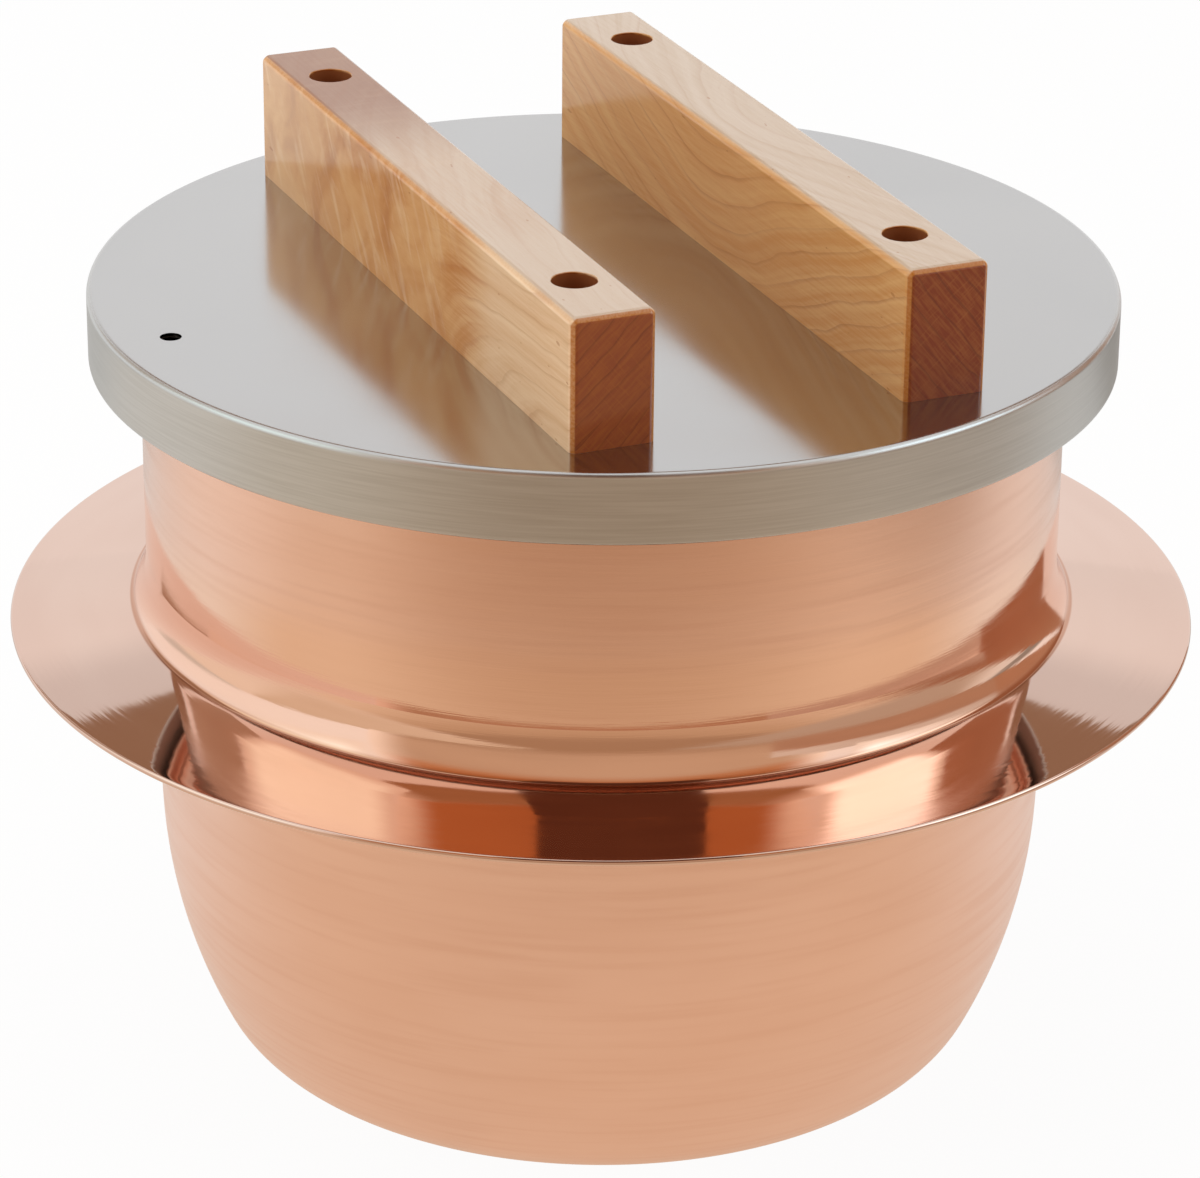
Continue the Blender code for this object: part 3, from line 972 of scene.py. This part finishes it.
class Outline:
    """Half a section, as points of radius and height, drawn in order."""

    def __init__(self, *points: Point) -> None:
        """Starts the outline at its first points."""
        self.points: List[Point] = list(points)

    def to(self, *points: Point) -> "Outline":
        """Goes straight on to more points, and gives itself back."""
        self.points.extend(points)
        return self

    def arc(self, centre: Point, radius: float, start: float, end: float, steps: int) -> "Outline":
        """Goes on round an arc.

        Args:
            centre: The arc's centre.
            radius: Its radius.
            start: Where it starts, in degrees.
            end: Where it ends.
            steps: How many steps it is drawn in.

        Returns:
            This outline.
        """
        for step in range(steps + 1):
            turn = math.radians(start + (end - start) * step / steps)
            point = (centre[0] + radius * math.cos(turn), centre[1] + radius * math.sin(turn))
            if not self.points or math.dist(point, self.points[-1]) > 10 * MERGE_DISTANCE:
                self.points.append(point)
        return self

    def turn(self, name: str, steps: int = LATHE_STEPS, closed: bool = False) -> Piece:
        """Turns the outline about Z.

        Args:
            name: The new piece's name.
            steps: How many steps the turn has.
            closed: Whether the last point joins the first.

        Returns:
            The piece.
        """
        Bench.pick()
        bpy.ops.mesh.primitive_plane_add(size=0.01)
        piece = Bench.named(name)
        path = self.points + self.points[:1] if closed else self.points
        places = [Vector((radius, 0.0, height)) for radius, height in path]
        with Bench.editing(piece):
            bpy.ops.mesh.select_mode(type="VERT")
            bpy.ops.mesh.merge(type="CENTER")
            bpy.ops.transform.translate(value=places[0])
            for before, after in zip(places, places[1:]):
                bpy.ops.mesh.extrude_region_move(TRANSFORM_OT_translate={"value": after - before})
            bpy.ops.mesh.select_all(action="SELECT")
            bpy.ops.mesh.remove_doubles(threshold=MERGE_DISTANCE)
            bpy.ops.mesh.spin(steps=steps, angle=2 * math.pi, center=ORIGIN, axis=UP)
            bpy.ops.mesh.select_all(action="SELECT")
            bpy.ops.mesh.remove_doubles(threshold=MERGE_DISTANCE)
            bpy.ops.mesh.normals_make_consistent(inside=False)
        return piece


@dataclass
class PotAssembly:
    """The copper vessel and the brim that is brazed round it."""

    height: float = 0.175
    collar_radius: float = 0.100
    sheet: float = 0.0015
    taper: float = 2.1
    belly_height: float = 0.0564
    belly_draw_in: float = 0.0097
    base_corner: float = 0.0175
    lip_reach: float = 0.0088
    lip_bend: float = 0.003
    lip_edge: float = 0.0025
    lip_softness: float = 0.0006
    base_rings: Tuple[float, ...] = (0.0, 0.03, 0.06)
    brim_reach: float = 0.02998
    brim_root: float = 0.1047
    brim_sheet: float = 0.0014
    brim_slope: float = 7.0
    crease: float = 0.0014
    neck_sink: float = 0.00002
    flare_radius: float = 0.0189
    flare_turn: float = 31.0
    flare_power: float = 3.0
    flare_steps: int = 32

    @property
    def neck_top(self) -> float:
        """Height where the brim's neck leaves the collar."""
        flare = math.radians(self.flare_turn)
        drop = self.crease * (math.cos(math.radians(self.brim_slope)) - math.sin(flare))
        return self.brim_root + drop + self.flare_radius * math.sin(flare)

    def wall_radius(self, height: float) -> float:
        """Outside radius of the wall below the collar, at a height in metres."""
        return self.collar_radius - (self.neck_top - height) * math.tan(math.radians(self.taper))

    def body_outline(self) -> Outline:
        """The vessel's outside, from the middle of the base to the lip's edge.

        Returns:
            The open outline.
        """
        taper = math.radians(self.taper)
        top = (self.wall_radius(self.belly_height), self.belly_height)
        corner = (top[0] - self.belly_draw_in - self.base_corner, self.base_corner)
        gap = (top[0] - corner[0], top[1] - corner[1])
        inward = gap[1] * math.sin(taper) - gap[0] * math.cos(taper)
        spread = gap[0] ** 2 + gap[1] ** 2 - self.base_corner ** 2
        radius = -spread / (2 * (inward + self.base_corner))
        belly = (top[0] - radius * math.cos(taper), top[1] + radius * math.sin(taper))
        meet = math.degrees(math.atan2(corner[1] - belly[1], corner[0] - belly[0]))
        bend_height = self.height - self.sheet - self.lip_bend
        lip = self.collar_radius + self.lip_reach - self.sheet
        outline = Outline(*((ring, 0.0) for ring in self.base_rings))
        outline.arc(corner, self.base_corner, -90.0, meet, 18)
        outline.arc(belly, radius, meet, -self.taper, 26)
        for share in (0.25, 0.5, 0.75, 1.0):
            height = self.belly_height + share * (self.neck_top - self.belly_height)
            outline.to((self.wall_radius(height), height))
        for share in (0.06, 0.35, 0.65, 0.94):
            outline.to((self.collar_radius, self.neck_top + share * (bend_height - self.neck_top)))
        outline.arc((self.collar_radius + self.lip_bend, bend_height), self.lip_bend, 180.0, 90.0, 8)
        outline.arc((lip - self.lip_bend, bend_height), self.lip_bend, 90.0, 0.0, 8)
        return outline.to((lip, bend_height - self.lip_edge))

    def brim_outline(self) -> Outline:
        """The brim ring: down its neck, out over the brim, back under it and up inside.

        Returns:
            The closed outline.
        """
        slope, flare = math.radians(self.brim_slope), math.radians(self.flare_turn)
        neck = self.collar_radius - self.neck_sink
        waist = neck + self.flare_radius * (1 - math.cos(flare))
        foot = self.neck_top - self.flare_radius * math.sin(flare)
        rise = self.flare_power * (waist - neck) / math.tan(flare)
        outline = Outline()
        for step in range(self.flare_steps + 1):
            share = step / self.flare_steps
            outline.to((neck + (waist - neck) * share ** self.flare_power, foot + rise * (1 - share)))
        crease = (waist + self.crease * math.cos(flare), foot + self.crease * math.sin(flare))
        outline.arc(crease, self.crease, 180.0 + self.flare_turn, 270.0 - self.brim_slope, 14)
        root = outline.points[-1]
        half = self.brim_sheet / 2
        edge_r = self.collar_radius + self.brim_reach - half
        fall = math.tan(slope)
        for share in (0.03, 0.2, 0.4, 0.6, 0.8, 0.97):
            r = root[0] + share * (edge_r - root[0])
            outline.to((r, root[1] - (r - root[0]) * fall))
        edge_z = root[1] - (edge_r - root[0]) * fall - half / math.cos(slope)
        outline.arc((edge_r, edge_z), half, 90.0 - self.brim_slope, -90.0 - self.brim_slope, 12)
        under = outline.points[-1]
        for share in (0.03, 0.5, 0.97):
            r = under[0] + share * (self.collar_radius - under[0])
            outline.to((r, under[1] + (under[0] - r) * fall))
        bore_foot = under[1] + (under[0] - self.collar_radius) * fall
        bore_top = (self.collar_radius + self.neck_sink, self.neck_top)
        return outline.to((self.wall_radius(bore_foot) + self.neck_sink, bore_foot), bore_top)

    def build_body(self) -> Piece:
        """Turns the vessel and gives its sheet a thickness and a soft lip edge.

        Returns:
            The vessel; its inside has the second material.
        """
        pot = self.body_outline().turn("copper_vessel")
        for finish in (SatinCopper().material(), TinLining().material()):
            pot.data.materials.append(finish)
        Bench.thicken(pot, -1, self.sheet, self.lip_softness, material_offset=1, material_offset_rim=0)
        return Bench.dress(pot)

    def build_brim(self) -> Piece:
        """The turned brim ring."""
        brim = self.brim_outline().turn("copper_brim", closed=True)
        return Bench.dress(brim, MirrorCopper().material())

    def build(self) -> None:
        """Builds both pieces and ties them to the pot."""
        Bench.hand_in(self.build_body(), Body.POT, "satin_copper", "pot_body")
        Bench.hand_in(self.build_brim(), Body.POT, "polished_copper", "brim_ring")


@dataclass
class LidAssembly:
    """The steel lid with its vent, its two maple bars and the fasteners that hold them."""

    radius: float = 0.111
    top: float = 0.1763
    sheet: float = 0.001
    skirt: float = 0.0151
    skirt_softness: float = 0.0004
    corner: float = 0.0013
    corner_margin: float = 0.0006
    top_rings: Tuple[float, ...] = (0.0, 0.05)
    vent_radius: float = 0.0023
    vent_place: Point = (-0.098, 0.0)
    bar_foot: float = 0.17632
    bar_width: float = 0.0184
    bar_height: float = 0.02828
    bar_length: float = 0.1808
    bar_offset: float = 0.0365
    bar_chamfer: float = 0.0011
    bar_softness: float = 0.00045
    hole_radius: float = 0.0023
    counterbore: float = 0.0047
    counterbore_floor: float = 0.1866
    hole_chamfer: float = 0.00015
    screw_offset: float = 0.070
    screw_radius: float = 0.002
    screw_end_gap: float = 0.0005
    point_chamfer: float = 0.0004
    head_radius: float = 0.0039
    head_height: float = 0.0026
    head_rounding: float = 0.0009
    recess_width: float = 0.001
    recess_length: float = 0.0044
    recess_floor: float = 0.0012
    washer_radius: float = 0.0043
    washer_sheet: float = 0.0008
    washer_softness: float = 0.0001
    nut_flats: float = 0.0035
    nut_hex: float = 0.0032
    nut_depth: float = 0.0050
    nut_dome: float = 0.0031
    nut_cap: float = 0.0015
    nut_dome_steps: int = 8
    rest_gap: float = 0.0003

    @property
    def nut_top(self) -> float:
        """Height of the nuts' top faces, under the lid and its washers."""
        return self.top - self.sheet - 2 * self.rest_gap - self.washer_sheet

    def screw_places(self) -> Dict[Tuple[Side, End], Vector]:
        """Where the four screws stand, by bar and end."""
        return {(side, end): Vector((side.value * self.bar_offset, end.value * self.screw_offset, 0.0))
                for side in Side for end in End}

    def cut_holes(self, piece: Piece, *places: Vector) -> None:
        """Cuts stepped screw holes, which go through a bar and the lid.

        Args:
            piece: The bar or the lid.
            *places: Where the screws stand.
        """
        top, floor, foot = self.bar_foot + self.bar_height, self.counterbore_floor, self.top - CUT_MARGIN
        head, flare = top + CUT_MARGIN, self.counterbore + self.hole_chamfer + CUT_MARGIN
        for place in places:
            outline = Outline((0.0, head), (flare, head), (self.counterbore, top - self.hole_chamfer))
            outline.to((self.counterbore, floor), (self.hole_radius, floor))
            outline.to((self.hole_radius, foot), (0.0, foot))
            cutter = outline.turn("screw_hole", SMALL_LATHE_STEPS)
            cutter.data.transform(Matrix.Translation(place))
            Bench.cut(piece, cutter)

    def build_plate(self) -> Piece:
        """Turns the lid, then bores its vent and its screw holes.

        Returns:
            The lid plate.
        """
        flat, straight = self.radius - self.corner, self.top - self.corner
        foot = self.top - self.skirt
        outline = Outline(*((ring, self.top) for ring in (*self.top_rings, flat - self.corner_margin)))
        outline.arc((flat, straight), self.corner, 90.0, 0.0, 12)
        for height in (straight - self.corner_margin, foot + self.sheet, foot):
            outline.to((self.radius, height))
        plate = outline.turn("steel_lid")
        Bench.thicken(plate, 1, self.sheet, self.skirt_softness)
        self.cut_holes(plate, *self.screw_places().values())
        high, low = self.top + CUT_MARGIN, self.top - CUT_MARGIN
        vent = Outline((0.0, high), (self.vent_radius, high), (self.vent_radius, low), (0.0, low))
        cutter = vent.turn("vent_hole", SMALL_LATHE_STEPS)
        cutter.data.transform(Matrix.Translation((*self.vent_place, 0.0)))
        Bench.cut(plate, cutter)
        return Bench.dress(plate, LidSteel().material())

    def build_bar(self, finish: Maple) -> Piece:
        """Chamfers a block all round, cuts it flat at the bar's foot and counterbores its screw holes.

        Args:
            finish: The bar's maple.

        Returns:
            The bar.
        """
        foot = Vector((finish.side.value * self.bar_offset, 0.0, self.bar_foot))
        size = Vector((self.bar_width, self.bar_length, 2 * self.bar_height))
        bar = Bench.block(f"{finish.side.name.lower()}_maple_bar", size, foot)
        with Bench.editing(bar):
            for width, segments in ((self.bar_chamfer, 1), (self.bar_softness, 3)):
                bpy.ops.mesh.bevel(offset=width, segments=segments, affect="EDGES")
                bpy.ops.mesh.select_all(action="SELECT")
            bpy.ops.mesh.bisect(plane_co=foot, plane_no=UP, use_fill=True, clear_inner=True)
        self.cut_holes(bar, *(self.screw_places()[finish.side, end] for end in End))
        return Bench.dress(bar, finish.material(foot, self.bar_length, self.bar_width))

    def build_screw(self) -> Piece:
        """Turns a pan-head screw at the origin and cuts its cross recess.

        Returns:
            The screw, its head's seat at height zero.
        """
        seat = self.counterbore_floor + 2 * self.rest_gap + self.washer_sheet
        end = self.nut_top - self.nut_depth + self.screw_end_gap - seat
        rounding, chamfer = self.head_rounding, self.point_chamfer
        outline = Outline((0.0, self.head_height))
        outline.arc((self.head_radius - rounding, self.head_height - rounding), rounding, 90.0, 0.0, 6)
        outline.to((self.head_radius, 0.0), (self.screw_radius, 0.0), (self.screw_radius, end + chamfer),
                   (self.screw_radius - chamfer, end), (0.0, end))
        screw = outline.turn("screw", SMALL_LATHE_STEPS)
        depth = 2 * self.head_height
        for size in ((self.recess_width, self.recess_length), (self.recess_length, self.recess_width)):
            middle = (self.recess_floor + depth / 2) * UP
            Bench.cut(screw, Bench.block("recess", Vector((*size, depth)), middle))
        return Bench.dress(screw, FastenerSteel("screw_steel", (0.60, 0.60, 0.60), 0.28).material())

    def build_washer(self) -> Piece:
        """Turns a flat washer at the origin.

        Returns:
            The washer, its foot at height zero.
        """
        soft, head = self.washer_softness, self.washer_sheet
        bore, rim = self.hole_radius, self.washer_radius
        outline = Outline((bore, head - soft), (bore + soft, head), (rim - soft, head), (rim, head - soft))
        outline.to((rim, soft), (rim - soft, 0.0), (bore + soft, 0.0), (bore, soft))
        washer = outline.turn("washer", SMALL_LATHE_STEPS, closed=True)
        return Bench.dress(washer, FastenerSteel("washer_steel", (0.66, 0.66, 0.65), 0.34).material())

    def build_nut(self) -> Piece:
        """Turns a cap nut blank at the origin and trims it to a hexagon.

        Returns:
            The nut, its top face at height zero.
        """
        flats, dome, foot = self.nut_flats, self.nut_dome, -self.nut_depth
        corner = flats / math.cos(math.pi / 6)
        chamfer = corner - flats
        outline = Outline((0.0, foot), (self.hole_radius, foot), (self.hole_radius, 0.0), (flats, 0.0),
                          (corner, -chamfer), (corner, chamfer - self.nut_hex), (flats, -self.nut_hex),
                          (dome, -self.nut_hex), (dome, foot))
        for step in range(1, self.nut_dome_steps):
            turn = math.pi / 2 * step / self.nut_dome_steps
            outline.to((dome * math.cos(turn), foot - self.nut_cap * math.sin(turn)))
        nut = outline.to((0.0, foot - self.nut_cap)).turn("cap_nut", SMALL_LATHE_STEPS)
        Bench.pick()
        depth = 2 * (self.nut_depth + self.nut_cap + CUT_MARGIN)
        bpy.ops.mesh.primitive_cylinder_add(vertices=6, radius=corner, depth=depth)
        Bench.cut(nut, bpy.context.object, "INTERSECT")
        return Bench.dress(nut, FastenerSteel("nut_steel", (0.70, 0.70, 0.69), 0.18).material())

    def build_fasteners(self) -> None:
        """Models one screw, washer and nut, and copies them to the four screw places."""
        screw, washer, nut = self.build_screw(), self.build_washer(), self.build_nut()
        models = {"screw_steel": screw, "washer_steel": washer, "nut_steel": nut}
        under_head = self.counterbore_floor + self.rest_gap
        levels = {
            "screw": ("screw_steel", under_head + self.washer_sheet + self.rest_gap),
            "head_washer": ("washer_steel", under_head),
            "lid_washer": ("washer_steel", self.nut_top + self.rest_gap),
            "cap_nut": ("nut_steel", self.nut_top),
        }
        for (side, end), place in self.screw_places().items():
            for kind, (slot, height) in levels.items():
                node = f"{side.name}_{end.name}_{kind}".lower()
                piece = Bench.copy(models[slot], f"steel_{node}", place + height * UP)
                Bench.hand_in(piece, Body.LID, slot, node)
        for model in models.values():
            bpy.data.objects.remove(model)

    def build(self) -> None:
        """Builds every piece of the lid and ties it to the lid's body."""
        Bench.hand_in(self.build_plate(), Body.LID, "brushed_steel", "lid_plate")
        figured = Maple(
            Side.LEFT, top_pale=(0.64, 0.525, 0.405), top_tan=(0.57, 0.405, 0.275),
            side_pale=(0.77, 0.455, 0.185), side_tan=(0.52, 0.195, 0.030), side_front=(0.87, 0.65, 0.41),
            line=(0.36, 0.105, 0.018), end=(0.27, 0.065, 0.016), rear_stain=(0.52, 0.31, 0.21),
            top_lines=0.10, side_lines=0.30, ring_step=4.6, ring_lean=-0.9, curly=True,
        )
        plain = Maple(
            Side.RIGHT, top_pale=(0.65, 0.54, 0.425), top_tan=(0.57, 0.44, 0.31),
            side_pale=(0.78, 0.475, 0.195), side_tan=(0.66, 0.330, 0.100), side_front=(0.80, 0.51, 0.225),
            line=(0.35, 0.115, 0.026), end=(0.215, 0.036, 0.005), rear_stain=WHITE,
            top_lines=0.16, side_lines=0.38, ring_step=5.6, ring_lean=1.2, curly=False,
        )
        for finish in (figured, plain):
            side = finish.side.name.lower()
            Bench.hand_in(self.build_bar(finish), Body.LID, f"{side}_wood", f"{side}_bar")
        self.build_fasteners()


@dataclass(frozen=True)
class Panel:
    """A card or a soft lamp that faces the pot."""

    name: str
    bearing: float
    """Degrees from the camera's side of the pot, to the right as the camera sees it."""
    distance: float
    middle: float
    """Height of its middle."""
    width: float
    height: float
    glow: Colour
    lean: float = 0.0
    """Degrees that its head leans towards the pot."""
    stops: Stops = ()
    """Further colours on the way up a card, by their share of its height."""
    sides: Optional[Colour] = None
    taper: float = 1.0
    """How wide a card's head is, next to its foot."""

    def matrix(self, front: float) -> Matrix:
        """Where the panel stands.

        Args:
            front: The camera's own bearing, in degrees round Z.

        Returns:
            The matrix that puts a square in the XY plane there, facing the pot.
        """
        turn = math.radians(front + self.bearing)
        way = Vector((math.cos(turn), math.sin(turn), 0.0))
        facing = way.to_track_quat("Z", "Y").to_matrix().to_4x4()
        place = self.distance * way + self.middle * UP
        return Matrix.Translation(place) @ facing @ Matrix.Rotation(math.radians(-self.lean), 4, "X")


@dataclass
class Studio:
    """White paper, soft lamps, the dim front of the studio and the camera."""

    camera_place: Tuple[float, float, float] = (-0.39336, -0.91416, 0.54575)
    camera_heading: float = -23.269
    camera_pitch: float = -24.007
    camera_roll: float = 0.529
    lens: float = 147.635
    sensor: float = 36.0
    front: float = -113.28
    floor_size: float = 14.0
    ambient: float = 0.55
    overhead_place: Tuple[float, float, float] = (-0.15, 0.25, 1.7)
    overhead_size: float = 1.6
    overhead_power: float = 13.0
    bright_glow: float = 1.2

    def add_camera(self) -> None:
        """Puts the camera at the photograph's viewing angle."""
        data = bpy.data.cameras.new("camera")
        data.sensor_width = self.sensor
        data.lens = self.lens
        camera = bpy.data.objects.new("camera", data)
        bpy.context.scene.collection.objects.link(camera)
        turn = (Matrix.Rotation(math.radians(self.camera_heading), 4, "Z")
                @ Matrix.Rotation(math.radians(90.0 + self.camera_pitch), 4, "X")
                @ Matrix.Rotation(math.radians(self.camera_roll), 4, "Z"))
        camera.matrix_world = Matrix.Translation(self.camera_place) @ turn
        bpy.context.scene.camera = camera

    def add_world(self) -> None:
        """Surrounds the pot with white that lights it gently."""
        graph = Graph(bpy.data.worlds.new("white_room"))
        bpy.context.scene.world = graph.owner
        _, shown = graph.rays()
        background = graph.tree.nodes["Background"]
        graph.feed(background.inputs["Color"], (*WHITE, 1.0))
        graph.feed(background.inputs["Strength"], shown.between(self.ambient, 1.0))

    def add_floor(self) -> None:
        """Lays the white paper that the pot stands on."""
        Bench.pick()
        bpy.ops.mesh.primitive_plane_add(size=self.floor_size)
        floor = Bench.named("paper_floor")
        floor.data.materials.append(PaperWhite().material())

    def add_card(self, panel: Panel) -> None:
        """Stands a card where metal and wood see it and the camera doesn't.

        Args:
            panel: Its place, size and glow.
        """
        Bench.pick()
        bpy.ops.mesh.primitive_plane_add(size=1.0)
        card = Bench.named(panel.name)
        for corner in card.data.vertices:
            corner.co.x *= panel.taper if corner.co.y > 0 else 1.0
        size = Matrix.Diagonal((panel.width, panel.height, 1.0, 1.0))
        card.matrix_world = panel.matrix(self.front) @ size
        stops = ((0.0, panel.glow), *panel.stops)
        card.data.materials.append(GlowCard(panel.name, stops, panel.sides).material())
        card.visible_camera = False
        card.visible_shadow = False
        card.visible_diffuse = max(max(glow) for _, glow in stops) < self.bright_glow

    def add_lamp(self, name: str, size: Point, power: float, colour: Colour, matrix: Matrix) -> None:
        """Hangs a soft lamp; metal mirrors the white room there, not the lamp.

        Args:
            name: The lamp's name.
            size: Its width and height.
            power: Its power in watts.
            colour: Its colour.
            matrix: Its place.
        """
        data = bpy.data.lights.new(name, "AREA")
        data.shape = "RECTANGLE"
        data.size, data.size_y = size
        data.color = colour
        data.energy = power
        lamp = bpy.data.objects.new(name, data)
        bpy.context.scene.collection.objects.link(lamp)
        lamp.matrix_world = matrix
        lamp.visible_glossy = False

    def add_lamps(self) -> None:
        """Sets up a soft lamp overhead and one on each side."""
        overhead = (self.overhead_size, self.overhead_size)
        place = Matrix.Translation(self.overhead_place)
        self.add_lamp("overhead_softbox", overhead, self.overhead_power, WHITE, place)
        for panel in (
            Panel("left_softbox", -80.0, 1.35, 0.75, 1.32, 1.5, (1.15, 1.14, 1.12)),
            Panel("right_softbox", 79.0, 1.35, 0.76, 0.98, 1.28, (0.90, 0.89, 0.88)),
        ):
            size = (panel.width, panel.height)
            power = math.pi * math.prod(size)
            self.add_lamp(panel.name, size, power, panel.glow, panel.matrix(self.front))

    def add_cards(self) -> None:
        """Stands up the cards that the metal mirrors."""
        dim, rosy, bright_side = (0.54, 0.225, 0.088), (0.58, 0.43, 0.31), (1.05, 0.97, 0.88)
        rust, pale = (0.46, 0.28, 0.19), (0.68, 0.61, 0.55)
        grey, brown = (0.81, 0.815, 0.82), (0.345, 0.215, 0.14)
        soft, warm, cool = (1.0, 0.96, 0.90), (1.34, 1.55, 1.52), (1.95, 2.30, 2.50)
        for panel in (
            Panel("dim_front", 0.0, 1.6, 1.1, 4.5, 2.2, (0.44, 0.30, 0.20), sides=bright_side,
                  stops=((0.08, rosy), (0.40, rosy), (0.56, dim))),
            Panel("dim_ceiling", 0.0, 1.12, 2.2, 4.5, 0.95, (0.45, 0.26, 0.14), lean=90.0,
                  sides=bright_side),
            Panel("dim_right_foot", 73.0, 1.4, 0.27, 1.85, 0.54, rust, stops=((0.58, rust), (0.72, pale))),
            Panel("dim_left", -124.0, 1.5, 1.02, 0.75, 1.0, (0.52, 0.40, 0.31)),
            Panel("dim_right", 122.0, 1.5, 0.75, 0.98, 1.5, (0.46, 0.25, 0.155)),
            Panel("dim_back", 180.0, 1.7, 1.56, 2.4, 1.68, (0.97, 0.97, 0.97),
                  stops=((0.10, WHITE), (0.14, WHITE), (0.22, grey), (0.273, grey), (0.279, brown))),
            Panel("left_glow", -82.0, 1.3, 1.05, 1.30, 1.2, soft, sides=soft,
                  stops=((0.30, warm), (0.70, warm), (1.0, soft))),
            Panel("right_glow", 82.0, 1.3, 1.05, 1.00, 1.2, soft, sides=soft,
                  stops=((0.30, cool), (0.70, cool), (1.0, soft))),
            Panel("camera_opening", 6.0, 0.73, 1.20, 0.88, 1.05, (0.13, 0.055, 0.033), lean=56.0,
                  taper=0.74),
        ):
            self.add_card(panel)

    def build(self) -> None:
        """Sets the studio up."""
        bpy.context.scene.view_settings.view_transform = "Standard"
        self.add_camera()
        self.add_world()
        self.add_floor()
        self.add_lamps()
        self.add_cards()
        LOG.info("studio set up")


def main() -> None:
    """Builds the pot, its lid and the studio."""
    logging.basicConfig(level=logging.INFO, format="%(message)s")
    PotAssembly().build()
    LidAssembly().build()
    Studio().build()


if __name__ == "__main__":
    main()
